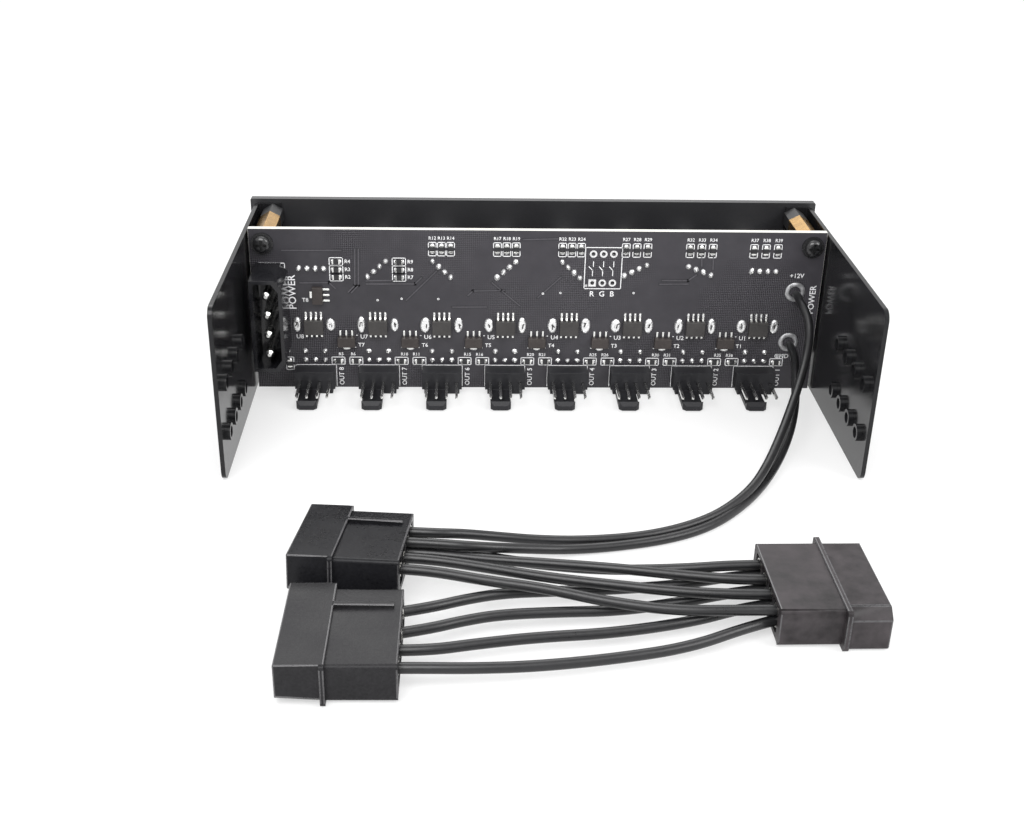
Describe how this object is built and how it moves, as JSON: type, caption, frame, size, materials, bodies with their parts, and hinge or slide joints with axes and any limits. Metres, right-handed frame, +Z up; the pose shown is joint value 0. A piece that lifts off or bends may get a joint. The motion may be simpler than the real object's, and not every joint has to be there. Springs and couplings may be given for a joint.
{
  "type": "fan controller",
  "caption": "Drive-bay fan controller: front panel with control knobs and lamps, circuit board with pin headers between two side flanges, and a power lead with pass-through plugs.",
  "frame": {"origin": "middle of the base of the controller without its power lead", "axes": "+X along the panel, +Y out of the panel's front past the knobs, +Z up"},
  "size_m": [0.1484, 0.1688, 0.0428],
  "materials": {
    "panel": "satin black paint",
    "bracket": "gloss black paint",
    "board": "black solder mask",
    "brass": "bare turned brass",
    "screw": "black finish",
    "header": "moulded black",
    "pin": "tinned",
    "lamp": "milky clear",
    "chip": "moulded dark grey",
    "resistor": "black with tinned ends",
    "solder": "bright solder",
    "housing": "moulded black",
    "contact": "tinned",
    "pot": "moulded body with tinned feet",
    "shaft": "turned",
    "knob": "black with a white pointer",
    "wire": "black insulation"
  },
  "bodies": {
    "controller": {"front_panel": "panel", "left_bracket": "bracket", "right_bracket": "bracket", "circuit_board": "board", "standoffs": "brass", "screws": "screw", "power_header": "header", "power_header_pins": "pin", "fan_header_pins": "pin", "indicator_lamps": "lamp", "driver_chips": "chip", "transistors": "chip", "resistors": "resistor", "wire_joints": "solder", "inlet_housing": "housing", "front_outlet_housing": "housing", "back_outlet_housing": "housing", "lead_contacts": "contact", "potentiometer_1": "pot", "fan_header_1": "header", "potentiometer_2": "pot", "fan_header_2": "header", "potentiometer_3": "pot", "fan_header_3": "header", "potentiometer_4": "pot", "fan_header_4": "header", "potentiometer_5": "pot", "fan_header_5": "header", "potentiometer_6": "pot", "fan_header_6": "header", "potentiometer_7": "pot", "fan_header_7": "header", "potentiometer_8": "pot", "fan_header_8": "header", "wire_plus": "wire", "wire_ground": "wire", "wire_back_1": "wire", "wire_back_2": "wire", "wire_back_3": "wire", "wire_back_4": "wire", "wire_front_1": "wire", "wire_front_2": "wire", "wire_front_3": "wire", "wire_front_4": "wire"},
    "control_1": {"shaft_1": "shaft", "knob_1": "knob"},
    "control_2": {"shaft_2": "shaft", "knob_2": "knob"},
    "control_3": {"shaft_3": "shaft", "knob_3": "knob"},
    "control_4": {"shaft_4": "shaft", "knob_4": "knob"},
    "control_5": {"shaft_5": "shaft", "knob_5": "knob"},
    "control_6": {"shaft_6": "shaft", "knob_6": "knob"},
    "control_7": {"shaft_7": "shaft", "knob_7": "knob"},
    "control_8": {"shaft_8": "shaft", "knob_8": "knob"}
  },
  "joints": [
    {"name": "control_1_turn", "type": "hinge", "parent": "controller", "child": "control_1", "pos_m": [-0.05656, 0.038, 0.0176], "axis": [0, 1, 0], "range_deg": [-150, 150]},
    {"name": "control_2_turn", "type": "hinge", "parent": "controller", "child": "control_2", "pos_m": [-0.0404, 0.038, 0.0176], "axis": [0, 1, 0], "range_deg": [-150, 150]},
    {"name": "control_3_turn", "type": "hinge", "parent": "controller", "child": "control_3", "pos_m": [-0.02424, 0.038, 0.0176], "axis": [0, 1, 0], "range_deg": [-150, 150]},
    {"name": "control_4_turn", "type": "hinge", "parent": "controller", "child": "control_4", "pos_m": [-0.00808, 0.038, 0.0176], "axis": [0, 1, 0], "range_deg": [-150, 150]},
    {"name": "control_5_turn", "type": "hinge", "parent": "controller", "child": "control_5", "pos_m": [0.00808, 0.038, 0.0176], "axis": [0, 1, 0], "range_deg": [-150, 150]},
    {"name": "control_6_turn", "type": "hinge", "parent": "controller", "child": "control_6", "pos_m": [0.02424, 0.038, 0.0176], "axis": [0, 1, 0], "range_deg": [-150, 150]},
    {"name": "control_7_turn", "type": "hinge", "parent": "controller", "child": "control_7", "pos_m": [0.0404, 0.038, 0.0176], "axis": [0, 1, 0], "range_deg": [-150, 150]},
    {"name": "control_8_turn", "type": "hinge", "parent": "controller", "child": "control_8", "pos_m": [0.05656, 0.038, 0.0176], "axis": [0, 1, 0], "range_deg": [-150, 150]}
  ]
}
